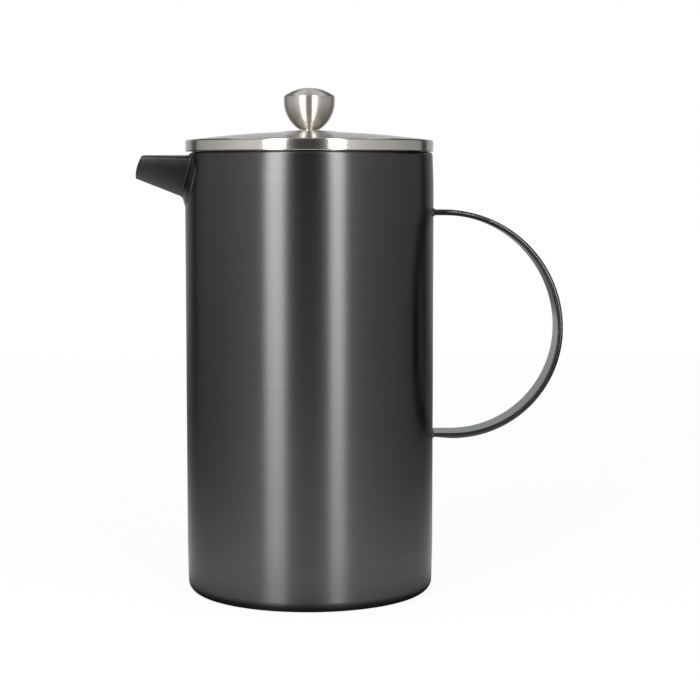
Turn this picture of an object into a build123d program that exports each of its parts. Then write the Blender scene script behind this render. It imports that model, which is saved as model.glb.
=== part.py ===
from build123d import *

import math
import os

# A double-walled coffee press in millimetres. The base stands on z = 0 with the
# vessel's axis on the origin, the spout points along -X and the handle along +X.
# The plunger is pressed down, with its knob resting on the lid.

# Clearances
SEAT_GAP = 0.3        # between pieces that rest on each other and come apart
WELD_GAP = 0.05       # between a round piece and the hole it is welded or screwed into
ROD_PLAY = 0.06       # radial play of the rod in its bush

# Vessel
SHEET = 0.8           # steel sheet of both walls and of the lid
BORE_R = 49.3         # inside of the liner
WALL_SPACE = 3.1      # air between the two walls
BODY_H = 191.7        # rim above the table
SHOULDER_R = 1.2      # rolled corner at the rim
NECK_DRAW = 0.5       # how far the drum draws in towards the rim
NECK_H = 14.0         # height over which it does
FOOT_CORNER_R = 4.6   # corner between drum and foot
FOOT_DRAW = 0.45      # how far the drum draws in towards the foot
FOOT_H = 20.0         # height over which it does
DRAW_BLEND_R = 300.0  # long blend between the straight drum and its drawn ends
FOOT_RING_W = 8.4     # flat standing ring under the drum
BASE_STEP_W = 5.0     # pressed groove between standing ring and base pad
BASE_OVERLAP = 4.0    # base plate welded over the foot ring
LINER_LIFT = 6.2      # air under the liner's floor
LINER_CORNER_R = 8.0  # inside corner of the liner

# Spout: half a cone with a slightly arched roof
SPOUT_SHEET = 0.9
SPOUT_REACH = 21.2    # mouth beyond the drum
SPOUT_DROP = 1.5      # cone axis below the rim
SPOUT_MOUTH_R = 9.9
KEEL_ANGLE = 21.4     # rise of the underside
ROOF_RISE = 0.3       # roof above the cone axis
ROOF_R = 182.0        # arch of the roof across the spout
SPOUT_EDGE_R = 1.2    # corner between roof and sides
MOUTH_LEAN = 3.7      # top of the mouth behind its lower edge
MOUTH_BOW_R = 23.0    # bow of the mouth seen from the side
MOUTH_CORNER_R = 1.5  # corner between mouth and roof
SEAM_STAND = 1.1      # weld seam in front of the drum, at the keel
SEAM_LEAN = 17.2      # lean of the seam towards the rim, degrees
CUFF_EDGE = 0.3       # cuff outside the spout at the seam
CUFF_FLARE = 5.0      # spread of the cuff down to the drum
CUFF_DEPTH = 3.3      # depth over which it spreads
CUFF_ROOT = 7.0       # cuff behind the flare, down to the liner
BEAD_R = 0.45         # weld bead

# Rim dip that lets the spout's roof pass under the lid
DIP_HALF_W = 22.0
DIP_ROLL_R = 24.0
DIP_LEDGE_W = 15.5    # where the rolled edge meets the roof
DIP_FLOOR_W = 12.0
DIP_FLOOR = 2.3       # below the rim

# Handle: a bent flat bar with its outer corners rounded for the hand
HANDLE_W = 18.0
HANDLE_TOP_H = 164.6  # inner face of the upper end above the table
HANDLE_LOW_H = 69.8   # inner face of the lower end above the table
HANDLE_REACH = 53.8   # inner face of the bend beyond the drum
HANDLE_UPPER_R = 49.4 # inner face of the upper bend; the lower one makes up the rest
HANDLE_T = 2.4
HANDLE_EDGE_R = 0.4   # corners of the inner face
HANDLE_GRIP_R = 1.0   # corners of the outer face
HANDLE_GRIND = 5.0    # slope ground on the outside of the lower end, degrees
HANDLE_WELD = 0.5     # weld bead round each end

# Lid
LID_INSET = 0.15      # lid rim inside the drum's outline
LID_BAND_H = 4.85     # rim band up to the dome
LID_EDGE_R = 0.8      # upper edge of the band
LID_HEM_R = 0.35      # lower edge of the band
DOME_RISE = 3.5       # dome from the band up to the raised centre
DOME_BOW = 0.45       # how far the dome bulges above a straight cone
BOSS_FOOT_R = 14.0    # where the raised centre begins
BOSS_R = 6.0
BOSS_RISE = 0.6       # raised centre under the bush head
BOSS_FLARE_R = 30.0   # hollow curve up to the raised centre
HEM_W = 2.4           # band turned in under the lid's disc
LID_DISC_PLAY = 0.3   # disc inside the band
SKIRT_PLAY = 0.3      # skirt inside the liner
SKIRT_H = 16.0
SKIRT_FLANGE_W = 6.0
SLOT_COUNT = 24
SLOT_W = 3.0
SLOT_H = 9.0
SLOT_DROP = 3.5       # top of the slots below the disc

# Guide bush
BUSH_WALL = 1.6
BUSH_HEAD_R = 4.9
BUSH_HEAD_H = 0.3
BUSH_TAIL = 4.4       # below the lid's disc
WASHER_R = 9.0
WASHER_T = 0.8
NUT_FLATS = 12.0
NUT_H = 3.0

# Knob
KNOB_R = 11.1
KNOB_NECK_R = 4.2
KNOB_FLANK_R = 14.2
KNOB_BAND_H = 2.15    # straight band above the flank
KNOB_DOME_R = 18.7
KNOB_EDGE_R = 0.7
KNOB_THREAD_H = 9.0   # rod inside the knob

# Plunger
ROD_R = 2.5
FILTER_STAND = 17.0   # cross plate above the liner's floor
FILTER_SHEET = 0.8
MESH_T = 0.3
MESH_INSET = 0.7      # mesh edge inside the liner
CROSS_INSET = 4.6     # cross plate edge inside the liner
CROSS_LIP_H = 1.6
SPOKE_COUNT = 8
SPOKE_W = 7.0
SPOKE_INNER_R = 18.0
SPOKE_OUTER_R = 36.0
SPOKE_CORNER_R = 2.0
COIL_R = 2.3          # rim spring, radius of its coils
COIL_PLAY = 0.2       # spring round the spring plate
PLATE_LIP_H = 4.2
PLATE_HUB_R = 10.0
PLATE_HUB_RISE = 1.2
PLATE_HOLE_ROWS = ((20.0, 10, 4.0), (33.5, 18, 3.6))  # row radius, count, hole radius
COLLAR_R = 7.5
COLLAR_FLANGE_H = 1.4
COLLAR_HUB_R = 5.0
COLLAR_H = 6.0
HUB_NUT_H = 4.5
ROD_END = 1.2         # rod below the hub nut

# Places that follow from the sizes above
LINER_OUT_R = BORE_R + SHEET
BODY_R = LINER_OUT_R + WALL_SPACE + SHEET
NECK_R = BODY_R - NECK_DRAW
FOOT_R = BODY_R - FOOT_DRAW
FOOT_RING_OUT_R = FOOT_R - FOOT_CORNER_R
FOOT_RING_IN_R = FOOT_RING_OUT_R - FOOT_RING_W
LINER_FLOOR_Z = LINER_LIFT + SHEET

SPOUT_Z = BODY_H - SPOUT_DROP
SPOUT_TIP_X = -(BODY_R + SPOUT_REACH)
KEEL_SLOPE = math.tan(math.radians(KEEL_ANGLE))

HANDLE_X = BODY_R + HANDLE_REACH
HANDLE_LOWER_R = HANDLE_TOP_H - HANDLE_LOW_H - HANDLE_UPPER_R
HANDLE_BEND_Z = HANDLE_TOP_H - HANDLE_UPPER_R

LID_Z = BODY_H + SEAT_GAP
LID_R = BODY_R - LID_INSET
DISC_Z = LID_Z + SHEET
BAND_TOP_Z = LID_Z + LID_BAND_H
DOME_TOP_Z = BAND_TOP_Z + DOME_RISE
BOSS_Z = DOME_TOP_Z + BOSS_RISE
SKIRT_R = BORE_R - SKIRT_PLAY
SKIRT_END_Z = DISC_Z - SKIRT_H

BUSH_IN_R = ROD_R + ROD_PLAY
BUSH_OUT_R = BUSH_IN_R + BUSH_WALL
BUSH_TOP_Z = BOSS_Z + BUSH_HEAD_H
KNOB_Z = BUSH_TOP_Z + SEAT_GAP

CROSS_Z = LINER_FLOOR_Z + FILTER_STAND
CROSS_R = BORE_R - CROSS_INSET
MESH_Z = CROSS_Z + FILTER_SHEET
PLATE_Z = MESH_Z + MESH_T
COIL_RING_R = BORE_R - SEAT_GAP - COIL_R
COIL_Z = PLATE_Z + COIL_PLAY + COIL_R
PLATE_R = COIL_RING_R - COIL_R - COIL_PLAY
COLLAR_Z = PLATE_Z + FILTER_SHEET + PLATE_HUB_RISE
ROD_TOP_Z = KNOB_Z + KNOB_THREAD_H
ROD_LOW_Z = CROSS_Z - HUB_NUT_H - ROD_END
TALL = 2 * BODY_H     # longer than any piece, for cutting tools
OVERRUN = 1.0         # how far other cutting tools run past what they cut


def turned(*corners):
    """Solid turned about the Z axis from corners given as (radius, height, rounding)."""
    places = [(r, z) for r, z, _ in corners]
    roundings = [rounding for _, _, rounding in corners]
    outline = FilletPolyline(*places, radius=roundings, close=True)
    return revolve(Plane.XZ * make_face(outline), Axis.Z)


def tube(outer_r, inner_r, low, high):
    """Plain round tube standing on the Z axis."""
    return turned((inner_r, low, 0), (outer_r, low, 0), (outer_r, high, 0), (inner_r, high, 0))


def post(radius, low, high):
    """Plain round bar standing on the Z axis."""
    bar = Cylinder(radius, high - low, align=(Align.CENTER, Align.CENTER, Align.MIN))
    return Pos(0, 0, low) * bar


def circles(solid, radius):
    """Round edges of a turned solid that have the radius given."""
    rings = solid.edges().filter_by(GeomType.CIRCLE)
    return rings.filter_by(lambda ring: abs(ring.radius - radius) < WELD_GAP)


def hex_nut(low, height, bore_r):
    """Hexagon nut on the Z axis, with its upper and lower corners turned off."""
    corner_r = NUT_FLATS / 2 / math.cos(math.pi / 6)
    bevel = (corner_r - NUT_FLATS / 2) / 2
    prism = extrude(RegularPolygon(corner_r, 6), height)
    turning = Cylinder(corner_r, height, align=(Align.CENTER, Align.CENTER, Align.MIN))
    turning = chamfer(turning.edges().filter_by(GeomType.CIRCLE), bevel)
    return Pos(0, 0, low) * (prism & turning) - post(bore_r, low - OVERRUN, low + height + OVERRUN)


# ---------------------------------------------------------------- spout


def spout_radius(x):
    """Radius of the spout's cone at a distance along X."""
    return SPOUT_MOUTH_R + KEEL_SLOPE * (x - SPOUT_TIP_X)


def roof_body(grow):
    """Everything under the spout's arched roof."""
    lying = Plane(origin=(0, 0, SPOUT_Z + ROOF_RISE - ROOF_R), z_dir=(-1, 0, 0))
    return lying * Cylinder(ROOF_R + grow, 4 * BODY_R)


def spout_form(grow, edge_r=0.0):
    """Solid form of the spout, moved outward by grow, with its roof corners rounded."""
    near_x = -BORE_R / 2
    far_x = SPOUT_TIP_X - SPOUT_MOUTH_R
    lying = Plane(origin=(near_x, 0, SPOUT_Z), z_dir=(-1, 0, 0))
    cone = Cone(
        spout_radius(near_x) + grow,
        spout_radius(far_x) + grow,
        near_x - far_x,
        align=(Align.CENTER, Align.CENTER, Align.MIN),
    )
    form = (lying * cone) & roof_body(grow)
    if edge_r:
        long_edges = form.edges().filter_by(lambda e: abs((e @ 0).X - (e @ 1).X) > BORE_R / 2)
        form = fillet(long_edges, edge_r)
    return form


def mouth_limit():
    """Everything behind the bowed, leaning mouth of the spout, with its upper corner rounded."""
    lip = Vector(SPOUT_TIP_X, SPOUT_Z - SPOUT_MOUTH_R)
    crest = Vector(SPOUT_TIP_X + MOUTH_LEAN, SPOUT_Z + ROOF_RISE + WELD_GAP)
    chord = crest - lip
    depth = math.sqrt(MOUTH_BOW_R**2 - (chord.length / 2) ** 2)
    centre = (lip + crest) * 0.5 + Vector(chord.Y, -chord.X).normalized() * depth
    foremost = centre - Vector(MOUTH_BOW_R, 0)
    edges = [
        RadiusArc(foremost, crest, MOUTH_BOW_R),
        Line(crest, (0, crest.Y)),
        Line((0, crest.Y), (0, BODY_H / 2)),
        Line((0, BODY_H / 2), (foremost.X, BODY_H / 2)),
        Line((foremost.X, BODY_H / 2), foremost),
    ]
    face = make_face(edges)
    corner = face.vertices().sort_by_distance(crest)[0]
    return extrude(Plane.XZ * fillet(corner, MOUTH_CORNER_R), BODY_R, both=True)


def seam():
    """Leaning plane of the spout's weld, and the radius of the circle that fits the spout there."""
    keel_x = -(BODY_R + SEAM_STAND)
    keel = Vector(keel_x, 0, SPOUT_Z - spout_radius(keel_x))
    lean = math.radians(SEAM_LEAN)
    up = Vector(math.sin(lean), 0, math.cos(lean))
    rise = (SPOUT_Z - keel.Z) / math.cos(lean)
    half_w = spout_radius(keel_x + rise * math.sin(lean))
    radius = (rise**2 + half_w**2) / (2 * rise)
    plane = Plane(origin=keel + up * radius, x_dir=(0, 1, 0), z_dir=(-up.Z, 0, up.X))
    return plane, radius


def rim_dip():
    """Cutting tool for the dip in the rim under which the spout's roof passes."""
    drop = DIP_ROLL_R - math.sqrt(DIP_ROLL_R**2 - (DIP_HALF_W - DIP_LEDGE_W) ** 2)
    edges = Curve()
    for side in (-1, 1):
        rim = (side * DIP_HALF_W, BODY_H)
        ledge = (side * DIP_LEDGE_W, BODY_H - drop)
        floor = (side * DIP_FLOOR_W, BODY_H - DIP_FLOOR)
        edges += [
            Line((side * DIP_HALF_W, 2 * BODY_H), rim),
            RadiusArc(rim, ledge, side * -DIP_ROLL_R),
            Line(ledge, floor),
        ]
    edges += Line((-DIP_FLOOR_W, BODY_H - DIP_FLOOR), (DIP_FLOOR_W, BODY_H - DIP_FLOOR))
    edges += Line((-DIP_HALF_W, 2 * BODY_H), (DIP_HALF_W, 2 * BODY_H))
    start = Plane(origin=(-BORE_R / 2, 0, 0), x_dir=(0, 1, 0), z_dir=(1, 0, 0))
    return extrude(start * make_face(edges), -BODY_R)


def spout():
    """Half-conical nozzle with an arched roof, open at the mouth and into the liner."""
    shell = spout_form(0, SPOUT_EDGE_R)
    hollow = spout_form(-SPOUT_SHEET, SPOUT_EDGE_R - SPOUT_SHEET)
    shell = shell - hollow
    shell = shell & mouth_limit()
    return shell - post(BORE_R, 0, TALL)


def cuff():
    """Collar drawn from the drum round the spout, solid down to the liner."""
    plane, radius = seam()
    edge_r = radius + CUFF_EDGE
    top = (Align.CENTER, Align.CENTER, Align.MAX)
    flare = Cone(edge_r + CUFF_FLARE, edge_r, CUFF_DEPTH, align=top)
    root = Pos(0, 0, -CUFF_DEPTH) * Cylinder(edge_r + CUFF_FLARE, CUFF_ROOT, align=top)
    limit_r = BODY_R + 2 * SEAM_STAND
    limit = turned(
        (LINER_OUT_R + WELD_GAP, BODY_H / 2, 0),
        (limit_r, BODY_H / 2, 0),
        (limit_r, BODY_H, SHOULDER_R + SEAM_STAND),
        (LINER_OUT_R + WELD_GAP, BODY_H, 0),
    )
    return plane * (flare + root) & limit


def spout_weld():
    """Bead laid round the spout in front of the cuff."""
    plane, radius = seam()
    bead = Pos(0, 0, BEAD_R / 2) * Torus(radius, BEAD_R)
    front = Box(4 * radius, 4 * radius, radius, align=(Align.CENTER, Align.CENTER, Align.MIN))
    bead = plane * (bead & front)
    bead = bead & roof_body(CUFF_EDGE)
    return bead - spout_form(WELD_GAP)


# ---------------------------------------------------------------- vessel


def outer_wall():
    """Drum with foot ring, rolled shoulder and turned-in lip, and the cuff for the spout."""
    blend = DRAW_BLEND_R
    drum = turned(
        (FOOT_RING_IN_R, 0, 0),
        (FOOT_R, 0, FOOT_CORNER_R),
        (BODY_R, FOOT_H, blend),
        (BODY_R, BODY_H - NECK_H, blend),
        (NECK_R, BODY_H, SHOULDER_R),
        (BORE_R, BODY_H, 0),
        (BORE_R, BODY_H - SHEET, 0),
        (NECK_R - SHEET, BODY_H - SHEET, 0),
        (BODY_R - SHEET, BODY_H - NECK_H, blend - SHEET),
        (BODY_R - SHEET, FOOT_H, blend - SHEET),
        (FOOT_R - SHEET, SHEET, FOOT_CORNER_R - SHEET),
        (FOOT_RING_IN_R, SHEET, 0),
    )
    return drum + cuff() - spout_form(WELD_GAP) - rim_dip()


def inner_wall():
    """Drawn liner, butted under the drum's lip, with its notch for the spout."""
    liner = turned(
        (0, LINER_LIFT, 0),
        (LINER_OUT_R, LINER_LIFT, LINER_CORNER_R + SHEET),
        (LINER_OUT_R, BODY_H - SHEET, 0),
        (BORE_R, BODY_H - SHEET, 0),
        (BORE_R, LINER_FLOOR_Z, LINER_CORNER_R),
        (0, LINER_FLOOR_Z, 0),
    )
    return liner - spout_form(WELD_GAP) - rim_dip()


def base_plate():
    """Pressed disc over the foot ring, with a pad that stands on the table."""
    pad_r = FOOT_RING_IN_R - BASE_STEP_W
    rim_r = FOOT_RING_IN_R + BASE_OVERLAP
    return turned(
        (0, 0, 0),
        (pad_r, 0, 0),
        (pad_r + 2 * SHEET, SHEET, 0),
        (rim_r, SHEET, 0),
        (rim_r, 2 * SHEET, 0),
        (pad_r + SHEET, 2 * SHEET, 0),
        (pad_r - SHEET, SHEET, 0),
        (0, SHEET, 0),
    )


def band_section(grow):
    """Section of the handle band moved out by grow, with its inner face on the local X axis."""
    half = HANDLE_W / 2 + grow
    outer = HANDLE_T + grow
    edge_r = HANDLE_EDGE_R + grow
    grip_r = HANDLE_GRIP_R + grow
    corners = ((-half, -grow), (half, -grow), (half, outer), (-half, outer))
    outline = FilletPolyline(*corners, radius=[edge_r, edge_r, grip_r, grip_r], close=True)
    return make_face(outline)


def band_end(side, bend_r, height):
    """Plane across one end of the band where its bend begins, facing the drum."""
    return Plane(origin=(HANDLE_X - bend_r, 0, height), x_dir=(0, -side, 0), z_dir=(-1, 0, 0))


UPPER_END = band_end(1, HANDLE_UPPER_R, HANDLE_TOP_H)
LOWER_END = band_end(-1, HANDLE_LOWER_R, HANDLE_LOW_H)


def grind(grow):
    """Cutting tool that slopes the outside of the lower end up to its weld."""
    slope = math.radians(HANDLE_GRIND)
    outward = Vector(-math.sin(slope), 0, -math.cos(slope))
    apex = Vector(HANDLE_X - HANDLE_LOWER_R, 0, HANDLE_LOW_H - HANDLE_T)
    face = Plane(origin=apex + outward * grow, x_dir=(0, 1, 0), z_dir=outward)
    return face * Box(BODY_R, BODY_R, BODY_R, align=(Align.CENTER, Align.CENTER, Align.MIN))


def bent_band(grow):
    """Band in two arcs with its section moved out by grow, running on into the drum."""
    section = band_section(grow)
    band = Part()
    for side, bend_r, end in ((1, HANDLE_UPPER_R, UPPER_END), (-1, HANDLE_LOWER_R, LOWER_END)):
        bend_axis = Axis((HANDLE_X - bend_r, 0, HANDLE_BEND_Z), (0, side, 0))
        band += revolve(end * section, bend_axis, 90)
        band += extrude(end * section, BODY_R)
    return band - grind(grow)


def handle():
    """Band with its ends cut to the round of the drum."""
    return bent_band(0) - post(BODY_R + WELD_GAP, 0, TALL)


def handle_welds():
    """Fillet welds round both ends of the handle."""
    beads = bent_band(HANDLE_WELD) - bent_band(WELD_GAP)
    skin = tube(BODY_R + HANDLE_WELD, BODY_R + WELD_GAP, 0, BODY_H)
    handle_side = Box(2 * BODY_R, BODY_R, TALL, align=(Align.MIN, Align.CENTER, Align.MIN))
    return beads & skin & handle_side


# ---------------------------------------------------------------- lid


def lid_cover():
    """Spun cover: rim band with a turned-in hem, shallow dome and raised centre."""
    hole_r = BUSH_OUT_R + WELD_GAP
    dome_mid_r = (LID_R + BOSS_FOOT_R) / 2
    dome_mid_z = (BAND_TOP_Z + DOME_TOP_Z) / 2

    def crown(inset):
        """Upper line from the band to the bush hole, moved in and down by inset."""
        band_r = LID_R - inset
        corner = (band_r, BAND_TOP_Z - inset)
        foot = (BOSS_FOOT_R, DOME_TOP_Z - inset)
        boss = (BOSS_R, BOSS_Z - inset)
        dome = ThreePointArc(corner, (dome_mid_r, dome_mid_z + DOME_BOW - inset), foot)
        flare = RadiusArc(foot, boss, -BOSS_FLARE_R)
        return [dome, flare, Line(boss, (hole_r, BOSS_Z - inset))]

    hem_r = LID_R - HEM_W
    inner_r = LID_R - SHEET
    edges = crown(0) + crown(SHEET)
    edges += [
        Line((hole_r, BOSS_Z), (hole_r, BOSS_Z - SHEET)),
        Line((LID_R, BAND_TOP_Z), (LID_R, LID_Z)),
        Line((LID_R, LID_Z), (hem_r, LID_Z)),
        Line((hem_r, LID_Z), (hem_r, DISC_Z)),
        Line((hem_r, DISC_Z), (inner_r, DISC_Z)),
        Line((inner_r, DISC_Z), (inner_r, BAND_TOP_Z - SHEET)),
    ]
    cover = revolve(Plane.XZ * make_face(edges), Axis.Z)
    cover = fillet(circles(cover, LID_R).sort_by(Axis.Z)[-1], LID_EDGE_R)
    return fillet(circles(cover, LID_R).sort_by(Axis.Z)[0], LID_HEM_R)


def lid_disc():
    """Flat disc inside the band, on its hem."""
    return tube(LID_R - SHEET - LID_DISC_PLAY, BUSH_OUT_R + WELD_GAP, DISC_Z, DISC_Z + SHEET)


def lid_skirt():
    """Slotted ring under the lid that centres it in the liner and strains the pour."""
    skirt = turned(
        (SKIRT_R - SHEET, SKIRT_END_Z, 0),
        (SKIRT_R, SKIRT_END_Z, 0),
        (SKIRT_R, DISC_Z, SHEET),
        (SKIRT_R - SKIRT_FLANGE_W, DISC_Z, 0),
        (SKIRT_R - SKIRT_FLANGE_W, DISC_Z - SHEET, 0),
        (SKIRT_R - SHEET, DISC_Z - SHEET, 0),
    )
    slot_z = DISC_Z - SLOT_DROP - SLOT_H / 2
    slot = extrude(Plane.YZ * SlotOverall(SLOT_H, SLOT_W, rotation=90), SKIRT_R + OVERRUN)
    for turn in range(SLOT_COUNT):
        angle = 360 / SLOT_COUNT * (turn + 0.5)
        skirt -= Rot(0, 0, angle) * Pos(0, 0, slot_z) * slot
    return skirt


def rod_bush():
    """Bush pushed down through cover and disc, which guides the rod."""
    tail_z = DISC_Z - BUSH_TAIL
    return turned(
        (BUSH_IN_R, tail_z, 0),
        (BUSH_OUT_R, tail_z, 0),
        (BUSH_OUT_R, BOSS_Z, 0),
        (BUSH_HEAD_R, BOSS_Z, 0),
        (BUSH_HEAD_R, BUSH_TOP_Z, BUSH_HEAD_H / 2),
        (BUSH_IN_R, BUSH_TOP_Z, 0),
    )


def bush_washer():
    """Washer under the lid's disc."""
    return tube(WASHER_R, BUSH_OUT_R + WELD_GAP, DISC_Z - WASHER_T, DISC_Z)


def bush_nut():
    """Nut that draws the bush down."""
    return hex_nut(DISC_Z - WASHER_T - NUT_H, NUT_H, BUSH_OUT_R + WELD_GAP)


# ---------------------------------------------------------------- plunger


def knob():
    """Turned knob: round flank, straight band and domed top, bored for the rod."""
    flank_turn = math.asin((KNOB_NECK_R - KNOB_R + KNOB_FLANK_R) / KNOB_FLANK_R)
    band_z = KNOB_Z + KNOB_FLANK_R * math.cos(flank_turn)
    shoulder_z = band_z + KNOB_BAND_H
    dome_z = shoulder_z + KNOB_DOME_R - math.sqrt(KNOB_DOME_R**2 - KNOB_R**2)
    edges = [
        Line((0, KNOB_Z), (KNOB_NECK_R, KNOB_Z)),
        RadiusArc((KNOB_NECK_R, KNOB_Z), (KNOB_R, band_z), -KNOB_FLANK_R),
        Line((KNOB_R, band_z), (KNOB_R, shoulder_z)),
        RadiusArc((KNOB_R, shoulder_z), (0, dome_z), -KNOB_DOME_R),
        Line((0, dome_z), (0, KNOB_Z)),
    ]
    turned_knob = revolve(Plane.XZ * make_face(edges), Axis.Z)
    shoulder = circles(turned_knob, KNOB_R).sort_by(Axis.Z)[-1]
    turned_knob = fillet(shoulder, KNOB_EDGE_R)
    return turned_knob - post(ROD_R + WELD_GAP, KNOB_Z - OVERRUN, ROD_TOP_Z + SEAT_GAP)


def rod():
    """Straight rod from the knob down to the hub nut, with its lower end bevelled."""
    bar = post(ROD_R, ROD_LOW_Z, ROD_TOP_Z)
    return chamfer(bar.edges().filter_by(GeomType.CIRCLE), ROD_R / 5)


def rod_collar():
    """Flanged collar fixed on the rod, which presses on the filter."""
    return turned(
        (ROD_R + WELD_GAP, COLLAR_Z, 0),
        (COLLAR_R, COLLAR_Z, 0),
        (COLLAR_R, COLLAR_Z + COLLAR_FLANGE_H, COLLAR_FLANGE_H / 3),
        (COLLAR_HUB_R, COLLAR_Z + COLLAR_FLANGE_H, 0),
        (COLLAR_HUB_R, COLLAR_Z + COLLAR_H, COLLAR_FLANGE_H / 2),
        (ROD_R + WELD_GAP, COLLAR_Z + COLLAR_H, 0),
    )


def spring_plate():
    """Perforated plate with a raised hub and a turned-up lip that carries the rim spring."""
    top = PLATE_Z + FILTER_SHEET
    ramp_r = PLATE_HUB_R + 2 * PLATE_HUB_RISE
    plate = turned(
        (ROD_R + WELD_GAP, PLATE_Z + PLATE_HUB_RISE, 0),
        (PLATE_HUB_R - FILTER_SHEET / 2, PLATE_Z + PLATE_HUB_RISE, 0),
        (ramp_r - FILTER_SHEET / 2, PLATE_Z, 0),
        (PLATE_R, PLATE_Z, FILTER_SHEET * 1.5),
        (PLATE_R, PLATE_Z + PLATE_LIP_H, 0),
        (PLATE_R - FILTER_SHEET, PLATE_Z + PLATE_LIP_H, 0),
        (PLATE_R - FILTER_SHEET, top, FILTER_SHEET / 2),
        (ramp_r, top, 0),
        (PLATE_HUB_R, top + PLATE_HUB_RISE, 0),
        (ROD_R + WELD_GAP, top + PLATE_HUB_RISE, 0),
    )
    for row_r, count, hole_r in PLATE_HOLE_ROWS:
        for turn in range(count):
            hole = Pos(row_r, 0, 0) * post(hole_r, PLATE_Z - OVERRUN, top + OVERRUN)
            plate -= Rot(0, 0, 360 / count * turn) * hole
    return plate


def rim_spring():
    """Outer form of the coil spring that lies round the spring plate."""
    return Pos(0, 0, COIL_Z) * Torus(COIL_RING_R, COIL_R)


def mesh_filter():
    """Disc of fine wire mesh."""
    return tube(BORE_R - MESH_INSET, ROD_R + WELD_GAP, MESH_Z, PLATE_Z)


def cross_plate():
    """Spoked plate under the mesh, with a turned-down lip."""
    plate = turned(
        (ROD_R + WELD_GAP, CROSS_Z, 0),
        (CROSS_R - FILTER_SHEET, CROSS_Z, FILTER_SHEET / 2),
        (CROSS_R - FILTER_SHEET, CROSS_Z - CROSS_LIP_H, 0),
        (CROSS_R, CROSS_Z - CROSS_LIP_H, 0),
        (CROSS_R, MESH_Z, FILTER_SHEET * 1.5),
        (ROD_R + WELD_GAP, MESH_Z, 0),
    )
    windows = Circle(SPOKE_OUTER_R) - Circle(SPOKE_INNER_R)
    for turn in range(SPOKE_COUNT // 2):
        windows -= Rot(0, 0, 360 / SPOKE_COUNT * turn) * Rectangle(2 * BORE_R, SPOKE_W)
    windows = fillet(windows.vertices(), SPOKE_CORNER_R)
    return plate - extrude(Pos(0, 0, CROSS_Z - OVERRUN) * windows, FILTER_SHEET + 2 * OVERRUN)


def hub_nut():
    """Nut under the cross plate that clamps the filter to the rod."""
    return hex_nut(CROSS_Z - HUB_NUT_H, HUB_NUT_H, ROD_R + WELD_GAP)


PIECES = (
    outer_wall, inner_wall, base_plate, spout, spout_weld, handle, handle_welds,
    lid_cover, lid_disc, lid_skirt, rod_bush, bush_washer, bush_nut,
    knob, rod, rod_collar, spring_plate, rim_spring, mesh_filter, cross_plate, hub_nut,
)

os.makedirs("parts", exist_ok=True)
for piece in PIECES:
    export_step(piece(), f"parts/{piece.__name__}.step")
print("plunger travel", round(SKIRT_END_Z - COIL_Z - COIL_R, 2))
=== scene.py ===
import math

import bmesh
import bpy
from mathutils import Matrix, Vector


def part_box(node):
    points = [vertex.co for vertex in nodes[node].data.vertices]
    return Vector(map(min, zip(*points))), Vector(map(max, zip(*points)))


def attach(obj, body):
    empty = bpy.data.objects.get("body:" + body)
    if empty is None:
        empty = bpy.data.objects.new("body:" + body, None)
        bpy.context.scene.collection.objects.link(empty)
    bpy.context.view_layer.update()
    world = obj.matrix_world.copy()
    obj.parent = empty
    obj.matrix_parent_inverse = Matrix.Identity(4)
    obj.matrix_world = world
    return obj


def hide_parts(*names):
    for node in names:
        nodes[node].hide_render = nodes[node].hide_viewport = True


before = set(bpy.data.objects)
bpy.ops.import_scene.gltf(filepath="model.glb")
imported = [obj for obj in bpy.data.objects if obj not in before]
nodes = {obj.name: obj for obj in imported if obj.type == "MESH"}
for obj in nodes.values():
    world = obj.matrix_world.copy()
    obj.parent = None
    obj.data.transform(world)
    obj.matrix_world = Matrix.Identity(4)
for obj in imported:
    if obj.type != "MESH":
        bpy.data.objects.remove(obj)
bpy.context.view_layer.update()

# A double-walled coffee press in metres: drum, spout and handle in dark brushed
# gunmetal, lid and knob in brushed steel. The vessel's axis is Z, the spout points
# along -X and the handle along +X, and the front faces -Y.

MM = 0.001

# ---------------------------------------------------------------- camera

CAMERA_PLACE = Vector((0.0, -0.8179, 0.1802))
CAMERA_YAW = math.radians(1.235)     # towards the handle
CAMERA_PITCH = math.radians(-5.22)   # downward
CAMERA_LENS = 96.24
CAMERA_SENSOR = 36.0


def aim_camera():
    """Puts the camera a little under the lid's rim, looking slightly down."""
    lens = bpy.data.cameras.new("camera")
    lens.lens = CAMERA_LENS
    lens.sensor_width = CAMERA_SENSOR
    lens.clip_start = 0.01
    camera = bpy.data.objects.new("camera", lens)
    bpy.context.scene.collection.objects.link(camera)
    camera.location = CAMERA_PLACE
    camera.rotation_euler = (math.pi / 2 + CAMERA_PITCH, 0, -CAMERA_YAW)
    bpy.context.scene.camera = camera


# ---------------------------------------------------------------- finishes


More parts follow.
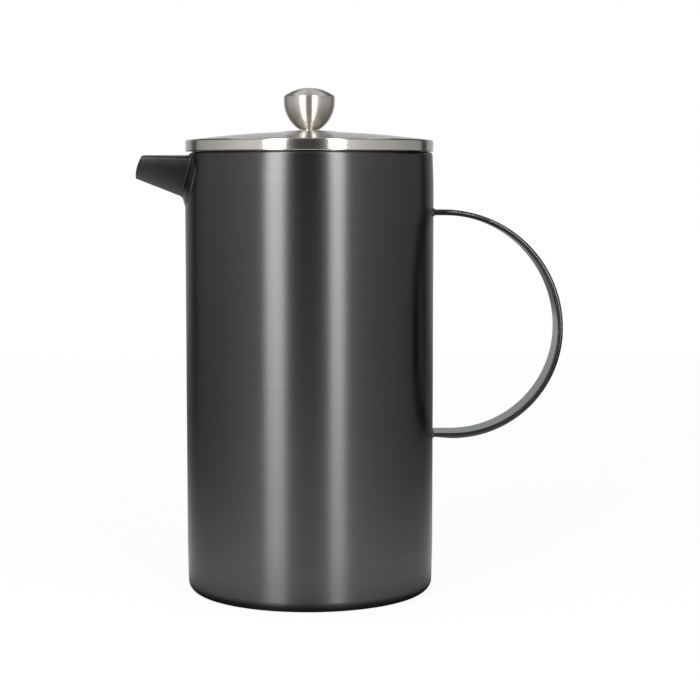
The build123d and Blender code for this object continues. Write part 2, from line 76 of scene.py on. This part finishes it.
class Reading:
    """A value that changes over a surface. Sums written with it become Math nodes."""

    def __init__(self, finish, socket):
        self.finish = finish
        self.socket = socket

    def maths(self, operation, first, second=0.0, clamp=False):
        settings = {"operation": operation, "use_clamp": clamp}
        node = self.finish.node("ShaderNodeMath", settings, {0: first, 1: second})
        return Reading(self.finish, node.outputs[0])

    def __add__(self, other):
        return self.maths("ADD", self, other)

    def __radd__(self, other):
        return self.maths("ADD", other, self)

    def __sub__(self, other):
        return self.maths("SUBTRACT", self, other)

    def __rsub__(self, other):
        return self.maths("SUBTRACT", other, self)

    def __mul__(self, other):
        return self.maths("MULTIPLY", self, other)

    def __rmul__(self, other):
        return self.maths("MULTIPLY", other, self)

    def __truediv__(self, other):
        return self.maths("DIVIDE", self, other)

    def __pow__(self, other):
        return self.maths("POWER", self, other)

    def sine(self):
        return self.maths("SINE", self)

    def above(self, level):
        """1 where the value is over the level, 0 elsewhere."""
        return self.maths("GREATER_THAN", self, level)

    def clipped(self):
        """The value held between 0 and 1."""
        return self.maths("ADD", self, 0.0, clamp=True)

    def ramp(self, low, high):
        """0 at low, 1 at high and straight between them."""
        return ((self - low) / (high - low)).clipped()


class Finish:
    """Node material of one finish, built round a Principled shader."""

    def __init__(self, name, **constants):
        self.material = bpy.data.materials.new(name)
        self.material.use_nodes = True
        self.tree = self.material.node_tree
        self.shader = self.tree.nodes["Principled BSDF"]
        for socket, value in constants.items():
            self.shader.inputs[socket.replace("_", " ")].default_value = value
        self.places = self.node("ShaderNodeTexCoord").outputs["Object"]

    def node(self, kind, settings=None, inputs=None):
        """Adds a node, sets its settings and then its inputs, each a value or a link."""
        made = self.tree.nodes.new(kind)
        for setting, value in (settings or {}).items():
            setattr(made, setting, value)
        for socket, value in (inputs or {}).items():
            self.feed(made.inputs[socket], value)
        return made

    def feed(self, socket, value):
        """Links a reading or a socket, or sets a plain value."""
        if isinstance(value, Reading):
            value = value.socket
        if isinstance(value, bpy.types.NodeSocket):
            self.tree.links.new(value, socket)
        else:
            socket.default_value = value

    def drive(self, socket, value):
        """Feeds a socket of the shader."""
        self.feed(self.shader.inputs[socket], value)

    def axes(self):
        """X, Y and Z of the surface, in metres."""
        split = self.node("ShaderNodeSeparateXYZ", None, {0: self.places})
        return [Reading(self, output) for output in split.outputs]

    def vector(self, x, y, z):
        return self.node("ShaderNodeCombineXYZ", None, {0: x, 1: y, 2: z}).outputs[0]

    def noise(self, vector, scale, detail=2.0, roughness=0.5):
        """Noise from 0 to 1."""
        made = self.node(
            "ShaderNodeTexNoise",
            None,
            {"Vector": vector, "Scale": scale, "Detail": detail, "Roughness": roughness},
        )
        return Reading(self, made.outputs["Fac"])

    def between(self, amount, first, second):
        """Colour between two colours."""
        inputs = {"Factor": amount, 6: first, 7: second}
        return self.node("ShaderNodeMix", {"data_type": "RGBA"}, inputs).outputs[2]

    def relief(self, height, depth):
        """Relief of the height given, with the depth in metres."""
        inputs = {"Strength": 1.0, "Distance": depth, "Height": height}
        self.drive("Normal", self.node("ShaderNodeBump", None, inputs).outputs[0])


def grey(level):
    return (level, level, level, 1.0)


# Finishes of pieces turned about the vessel's axis carry fine lines round it, and
# catch the light as streaks across those lines.

TURNED = {"Metallic": 1.0, "Anisotropic": 0.85, "Anisotropic_Rotation": 0.25}
FINE_RUN = 30 * MM     # length of the fine lines
BROAD_RUN = 55 * MM
BROAD_PITCH = 6        # broad lines, in pitches of the fine ones
CLOUDS = 0.35          # share of the handling clouds in the tone
GUNMETAL_DARK = (0.094, 0.095, 0.098, 1.0)
GUNMETAL_LIGHT = (0.120, 0.120, 0.120, 1.0)
# Painted shade: the handle's tones are the drum's gunmetal made darker.
SHADED_HANDLE_DARK = (0.068, 0.068, 0.070, 1.0)
SHADED_HANDLE_LIGHT = (0.086, 0.085, 0.085, 1.0)
# Painted shade: the spout grows dark to this tone towards its root at the drum, between these
# places along X.
ROOT_SHADE_GUNMETAL = (0.040, 0.041, 0.046, 1.0)
SPOUT_ROOT_SHADE = (-80 * MM, -52 * MM)
WIRE_PITCH = 0.32 * MM
BASE_DARK = (0.30, 0.29, 0.27, 1.0)
# Painted shade: the wire cloth is this dark in the low places between its wires.
WEAVE_SHADE_DARK = (0.10, 0.097, 0.09, 1.0)
WELD_DARK = (0.06, 0.06, 0.062, 1.0)
STEEL_DARK = (0.56, 0.535, 0.485, 1.0)
STEEL_LIGHT = (0.68, 0.655, 0.605, 1.0)
# Painted light: the knob's tones are the lid's steel made lighter.
LIT_KNOB_DARK = (0.69, 0.66, 0.60, 1.0)
LIT_KNOB_LIGHT = (0.83, 0.80, 0.74, 1.0)


def turned_lines(finish, pitch, run):
    """Lines round the axis, a pitch apart and about as long as the run."""
    x, y, z = finish.axes()
    radius = (x * x + y * y) ** 0.5
    along = 1.0 / run
    across = 1.0 / pitch
    place = finish.vector(radius * across + x * along, z * across, y * along)
    return finish.noise(place, 1.0, 3.0, 0.6)


def turned_metal(name, dark, light, roughness, pitch, depth, **constants):
    """Metal brushed on a lathe: lines of two widths, and faint clouds from handling."""
    finish = Finish(name, **(TURNED | constants))
    fine = turned_lines(finish, pitch, FINE_RUN)
    broad = turned_lines(finish, BROAD_PITCH * pitch, BROAD_RUN)
    cloud = finish.noise(finish.places, 28.0, 3.0)
    tone = fine * 0.5 + broad * (0.5 - CLOUDS * 0.5) + cloud * CLOUDS * 0.5
    tone = tone.ramp(0.25, 0.75)
    finish.drive("Base Color", finish.between(tone, dark, light))
    finish.drive("Roughness", roughness - 0.04 + fine * 0.05 + cloud * 0.03)
    finish.relief(fine * 0.6 + broad * 0.4, depth)
    return finish.material


def drawn_lines(finish, pitch, run):
    """Straight lines up and down the band of the handle, side by side along Y."""
    x, y, z = finish.axes()
    place = finish.vector(x * (1.0 / run), y * (1.0 / pitch), z * (1.0 / run))
    return finish.noise(place, 1.0, 3.0, 0.6)


def drawn_gunmetal(name):
    finish = Finish(name, Metallic=1.0, Specular_Tint=grey(0.68))
    lines = drawn_lines(finish, 0.25 * MM, 18 * MM)
    cloud = finish.noise(finish.places, 60.0, 3.0)
    tone = (lines * 0.7 + cloud * 0.3).ramp(0.25, 0.75)
    # Painted shade: the handle's gunmetal is darker than the drum's.
    finish.drive("Base Color", finish.between(tone, SHADED_HANDLE_DARK, SHADED_HANDLE_LIGHT))
    finish.drive("Roughness", 0.15 + lines * 0.05 + cloud * 0.03)
    finish.relief(lines, 0.0003 * MM)
    return finish.material


def rolled_gunmetal(name):
    """Folded sheet of the spout, with its brush lines running to the mouth, and painted shade
    darkening it towards its root at the drum.
    """
    finish = Finish(name, Metallic=1.0)
    x, y, z = finish.axes()
    lines = finish.noise(finish.vector(x * 45.0, y * 2600.0, z * 2600.0), 1.0, 3.0, 0.6)
    cloud = finish.noise(finish.places, 70.0, 3.0)
    # Painted shade, darkest at the root where the spout meets the drum.
    root = (x + lines * 3 * MM).ramp(*SPOUT_ROOT_SHADE)
    tone = (lines * 0.6 + cloud * 0.4).ramp(0.25, 0.75)
    metal = finish.between(tone, GUNMETAL_DARK, GUNMETAL_LIGHT)
    finish.drive("Base Color", finish.between(root, metal, ROOT_SHADE_GUNMETAL))
    finish.drive("Roughness", 0.36 + lines * 0.06 + cloud * 0.04)
    finish.relief(lines, 0.004 * MM)
    return finish.material


def welded_gunmetal(name):
    """Bead with the ripples of the torch."""
    finish = Finish(name, Metallic=1.0)
    ripple = finish.noise(finish.places, 900.0, 2.0)
    cloud = finish.noise(finish.places, 180.0, 3.0)
    tone = (ripple * 0.5 + cloud * 0.5).ramp(0.3, 0.7)
    finish.drive("Base Color", finish.between(tone, WELD_DARK, GUNMETAL_LIGHT))
    finish.drive("Roughness", 0.34 + ripple * 0.12)
    finish.relief(ripple, 0.02 * MM)
    return finish.material


def woven_steel(name):
    """Wire cloth: warp and weft pass over and under each other, with painted shade in the low
    places between the wires.
    """
    finish = Finish(name, Metallic=1.0)
    x, y, z = finish.axes()
    turn = math.pi / WIRE_PITCH
    warp = (x * turn).sine()
    weft = (y * turn).sine()
    over = (warp * weft).above(0.0)
    height = (warp * warp) ** 0.5 * over + (weft * weft) ** 0.5 * (1.0 - over)
    cloud = finish.noise(finish.places, 45.0, 3.0)
    # Painted shade: the low places of the weave turn dark.
    tone = (height * 0.8 + cloud * 0.2).clipped()
    finish.drive("Base Color", finish.between(tone, WEAVE_SHADE_DARK, STEEL_LIGHT))
    finish.drive("Roughness", 0.42 - height * 0.14)
    finish.relief(height, 0.06 * MM)
    return finish.material


def plain_steel(name, roughness, scratches):
    """Small polished piece with a few fine scratches."""
    finish = Finish(name, Metallic=1.0)
    x, y, z = finish.axes()
    scratch = finish.noise(finish.vector(x * 300.0, y * 300.0, z * 2500.0), 1.0, 3.0, 0.6)
    cloud = finish.noise(finish.places, 120.0, 3.0)
    tone = (scratch * 0.5 + cloud * 0.5).ramp(0.3, 0.7)
    finish.drive("Base Color", finish.between(tone, STEEL_DARK, STEEL_LIGHT))
    finish.drive("Roughness", roughness + scratch * scratches)
    finish.relief(scratch, 0.003 * MM)
    return finish.material


# Turned finishes: tones between which the metal varies, roughness, and the pitch and
# depth of the lines.
TURNED_METALS = {
    "drum gunmetal": {
        "dark": GUNMETAL_DARK,
        "light": GUNMETAL_LIGHT,
        "roughness": 0.32,
        "pitch": 0.22 * MM,
        "depth": 0.0015 * MM,
        "Specular_Tint": grey(0.70),
    },
    "lid steel": {
        "dark": STEEL_DARK,
        "light": STEEL_LIGHT,
        "roughness": 0.20,
        "pitch": 0.18 * MM,
        "depth": 0.0012 * MM,
    },
    # Painted light: the knob's steel is lighter than the lid's.
    "lit knob steel": {
        "dark": LIT_KNOB_DARK,
        "light": LIT_KNOB_LIGHT,
        "roughness": 0.35,
        "pitch": 0.14 * MM,
        "depth": 0.001 * MM,
    },
    "liner steel": {
        "dark": STEEL_DARK,
        "light": STEEL_LIGHT,
        "roughness": 0.34,
        "pitch": 0.25 * MM,
        "depth": 0.004 * MM,
    },
    "base steel": {
        "dark": BASE_DARK,
        "light": STEEL_DARK,
        "roughness": 0.34,
        "pitch": 0.25 * MM,
        "depth": 0.004 * MM,
    },
    "rod steel": {
        "dark": STEEL_DARK,
        "light": STEEL_LIGHT,
        "roughness": 0.16,
        "pitch": 0.10 * MM,
        "depth": 0.001 * MM,
    },
    "filter steel": {
        "dark": STEEL_DARK,
        "light": STEEL_LIGHT,
        "roughness": 0.24,
        "pitch": 0.20 * MM,
        "depth": 0.002 * MM,
    },
}


def finish_nodes():
    """Gives every piece of the press the finish of the metal it is made of."""
    turned = {name: turned_metal(name, **values) for name, values in TURNED_METALS.items()}
    liner = turned["liner steel"]
    stamped = turned["filter steel"]
    handle = drawn_gunmetal("shaded handle gunmetal")
    weld = welded_gunmetal("weld gunmetal")
    small = plain_steel("fastener steel", 0.16, 0.12)
    finishes = {
        "outer_wall": turned["drum gunmetal"],
        "inner_wall": liner,
        "base_plate": turned["base steel"],
        "spout": rolled_gunmetal("spout gunmetal"),
        "spout_weld": weld,
        "handle": handle,
        "handle_welds": weld,
        "lid_cover": turned["lid steel"],
        "lid_disc": liner,
        "lid_skirt": liner,
        "rod_bush": stamped,
        "bush_washer": small,
        "bush_nut": small,
        "knob": turned["lit knob steel"],
        "rod": turned["rod steel"],
        "rod_collar": small,
        "spring_plate": stamped,
        "mesh_filter": woven_steel("woven steel"),
        "cross_plate": stamped,
        "hub_nut": small,
        "rim_spring": small,
    }
    for name, material in finishes.items():
        slots = nodes[name].data.materials
        slots.clear()
        slots.append(material)
    return finishes


def add_piece(name, bm):
    """Puts the mesh just built into the scene as an object of its own."""
    mesh = bpy.data.meshes.new(name)
    bm.to_mesh(mesh)
    bm.free()
    piece = bpy.data.objects.new(name, mesh)
    bpy.context.scene.collection.objects.link(piece)
    return piece


# ---------------------------------------------------------------- rim spring

SPRING_WIRE_R = 0.25 * MM
SPRING_PITCH = 1.9 * MM
SPRING_SIDES = 6            # of the wire's section
SPRING_STEPS = 14           # steps of the spin in one turn of the wire
SPRING_SEAM = 0.01 * MM     # the coil's ends join where they are nearer than this


def rim_spring(material):
    """Wire coil round the filter's rim, which seals it against the liner."""
    low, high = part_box("rim_spring")
    coil_height = high[2] - low[2]
    coil_r = coil_height / 2 - SPRING_WIRE_R
    ring_r = high[0] - coil_height / 2
    middle = (low[2] + high[2]) / 2
    length = 2 * math.pi * ring_r
    turns = round(length / SPRING_PITCH)
    steps = turns * SPRING_STEPS

    bm = bmesh.new()
    across = Matrix.Translation((0, coil_r, 0)) @ Matrix.Rotation(math.pi / 2, 4, "Y")
    bmesh.ops.create_circle(bm, segments=SPRING_SIDES, radius=SPRING_WIRE_R, matrix=across)
    bmesh.ops.spin(
        bm,
        geom=bm.verts[:] + bm.edges[:],
        cent=(0, 0, 0),
        axis=(1, 0, 0),
        dvec=(length / steps, 0, 0),
        angle=2 * math.pi * turns,
        steps=steps,
    )
    for vert in bm.verts:
        round_ring = vert.co.x / ring_r
        reach = ring_r + vert.co.y
        vert.co = (reach * math.cos(round_ring), reach * math.sin(round_ring), middle + vert.co.z)
    bmesh.ops.remove_doubles(bm, verts=bm.verts, dist=SPRING_SEAM)
    bmesh.ops.recalc_face_normals(bm, faces=bm.faces)
    for face in bm.faces:
        face.smooth = True
    coil = add_piece("rim_coil", bm)
    coil.data.materials.append(material)
    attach(coil, "plunger")
    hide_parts("rim_spring")


# ---------------------------------------------------------------- studio

ROOM_R = 1.15
ROOM_TOP = 1.5
LAMP_R = 1.10
FLOOR_REACH = 6.0

# Brightness of the room's wall round the press: degrees from the front, negative to
# the spout's side, with the level there.
WALL = [
    (-180, 0.92),
    (-165, 0.74),
    (-150, 0.52),
    (-140, 0.42),
    (-134, 0.10),
    (-127, 0.08),
    (-122, 0.40),
    (-114, 0.46),
    (-100, 0.56),
    (-84, 0.66),
    (-70, 0.82),
    (-56, 0.95),
    (-48, 0.95),
    (-24, 0.30),
    (-12, 0.05),
    (5, 0.04),
    (14, 0.10),
    (18, 0.30),
    (38, 0.95),
    (48, 0.82),
    (61, 0.68),
    (82, 0.56),
    (97, 0.46),
    (110, 0.42),
    (121, 0.38),
    (126, 0.06),
    (133, 0.06),
    (139, 0.40),
    (150, 0.50),
    (165, 0.66),
    (180, 0.92),
]

WALL_FADE = (0.40, 0.75)    # heights between which the wall grows dim
WALL_DIM = 0.75             # by this share
BACK_FROM = 120             # bearing behind which the wall turns cooler
BACK_LESS_RED = 0.06
BACK_MORE_BLUE = 0.03

# Tall soft lamps: from and to in degrees, their level, and their foot and top.
LAMPS = [
    ("left_lamp", -39.5, -22.5, 7.6, 0.0, 1.35),
    ("right_lamp", 18.5, 31.0, 7.8, 0.0, 1.35),
]


def curved_wall(name, start, end, radius, foot, top, steps):
    """Upright wall round the axis, from one bearing to another."""
    bm = bmesh.new()
    bearing = math.radians(start)
    x, y = radius * math.sin(bearing), -radius * math.cos(bearing)
    ends = [bm.verts.new((x, y, foot)), bm.verts.new((x, y, top))]
    edge = bm.edges.new(ends)
    bmesh.ops.spin(
        bm,
        geom=ends + [edge],
        cent=(0, 0, 0),
        axis=(0, 0, 1),
        angle=math.radians(end - start),
        steps=steps,
        use_merge=end - start == 360,
    )
    for face in bm.faces:
        if face.normal.dot(face.calc_center_median() * Vector((1, 1, 0))) > 0:
            face.normal_flip()
    wall = add_piece(name, bm)
    wall.visible_camera = False
    return wall


def glowing(name):
    """Material that only gives out light, with its colour socket left to set."""
    finish = Finish(name)
    glow = finish.node("ShaderNodeEmission")
    target = finish.tree.nodes["Material Output"].inputs["Surface"]
    finish.tree.links.new(glow.outputs[0], target)
    finish.tree.nodes.remove(finish.shader)
    return finish, glow


def build_room():
    room = curved_wall("room_wall", -180, 180, ROOM_R, 0.0, ROOM_TOP, 72)
    finish, glow = glowing("room wall")
    x, y, z = finish.axes()
    bearing = x.maths("ARCTAN2", x, y * -1.0)
    ramp = finish.node("ShaderNodeValToRGB", None, {0: bearing * (0.5 / math.pi) + 0.5})
    stops = ramp.color_ramp.elements
    while len(stops) < len(WALL):
        stops.new(0.5)
    for stop, (degrees, level) in zip(stops, WALL):
        stop.position = degrees / 360 + 0.5
        behind = max(0, abs(degrees) - BACK_FROM) / (180 - BACK_FROM)
        red = level * (1 - BACK_LESS_RED * behind)
        blue = level * (1 + BACK_MORE_BLUE * behind)
        stop.color = (red, level, blue, 1)
    finish.feed(glow.inputs["Color"], ramp.outputs[0])
    finish.feed(glow.inputs["Strength"], 1.0 - z.ramp(*WALL_FADE) * WALL_DIM)
    room.data.materials.append(finish.material)

    for name, start, end, level, foot, top in LAMPS:
        lamp = curved_wall(name, start, end, LAMP_R, foot, top, 8)
        finish, glow = glowing(name)
        glow.inputs["Color"].default_value = (1, 1, 1, 1)
        glow.inputs["Strength"].default_value = level
        lamp.data.materials.append(finish.material)


CANOPY_R = 0.68
CANOPY_GLOW = 0.16


def build_canopy():
    """Dim sheet over the press, so that level faces don't mirror a bare sky."""
    bm = bmesh.new()
    over = Matrix.Translation((0, 0, ROOM_TOP))
    bmesh.ops.create_circle(bm, cap_ends=True, segments=48, radius=CANOPY_R, matrix=over)
    canopy = add_piece("canopy", bm)
    canopy.visible_camera = False
    finish, glow = glowing("canopy")
    glow.inputs["Strength"].default_value = CANOPY_GLOW
    canopy.data.materials.append(finish.material)


RAYS = ("Is Camera Ray", "Is Glossy Ray", "Is Transmission Ray")
FLOOR_GLOW = 0.93
FLOOR_COLOUR = 0.09
POOL_GLOW = 0.90

# Light pool that the floor shows to the metal: distances from the axis between which it
# rises or falls, and the share that it loses there. Its rise from nothing at the press's
# foot is painted shadow.
POOL_FOOT_SHADOW = (0.055, 0.080)
POOL_FALL = (0.16, 0.45)
POOL_FALL_LOSS = 0.62
POOL_EDGE = (0.45, 0.90)
POOL_EDGE_LOSS = 0.7
POOL_SIDE = (0.10, 0.34)
POOL_SIDE_LOSS = 0.9


def build_floor():
    bm = bmesh.new()
    bmesh.ops.create_grid(bm, x_segments=1, y_segments=1, size=FLOOR_REACH)
    floor = add_piece("floor", bm)
    finish = Finish("pale floor", Roughness=0.9, Base_Color=grey(FLOOR_COLOUR))
    finish.shader.inputs["Specular IOR Level"].default_value = 0.0
    finish.shader.inputs["Emission Strength"].default_value = 1.0
    x, y, z = finish.axes()
    radius = (x * x + y * y) ** 0.5
    # Painted shadow: near the foot the pool fades to nothing.
    pool = radius.ramp(*POOL_FOOT_SHADOW) * (1.0 - radius.ramp(*POOL_FALL) * POOL_FALL_LOSS)
    pool = pool * (1.0 - radius.ramp(*POOL_EDGE) * POOL_EDGE_LOSS)
    aside = (x * x) ** 0.5
    pool = pool * (1.0 - aside.ramp(*POOL_SIDE) * POOL_SIDE_LOSS)
    path = finish.node("ShaderNodeLightPath")
    camera, glossy, through = (Reading(finish, path.outputs[name]) for name in RAYS)
    mirrored = (glossy + through).clipped() * pool * POOL_GLOW
    finish.drive("Emission Color", camera * FLOOR_GLOW + mirrored)
    floor.data.materials.append(finish.material)


def build_sky():
    world = bpy.data.worlds.new("studio")
    bpy.context.scene.world = world
    world.use_nodes = True
    world.node_tree.nodes["Background"].inputs["Color"].default_value = (1, 1, 1, 1)


aim_camera()
build_sky()
build_floor()
build_room()
build_canopy()
steel = finish_nodes()
rim_spring(steel["rim_spring"])
bpy.context.scene.view_settings.view_transform = "Standard"
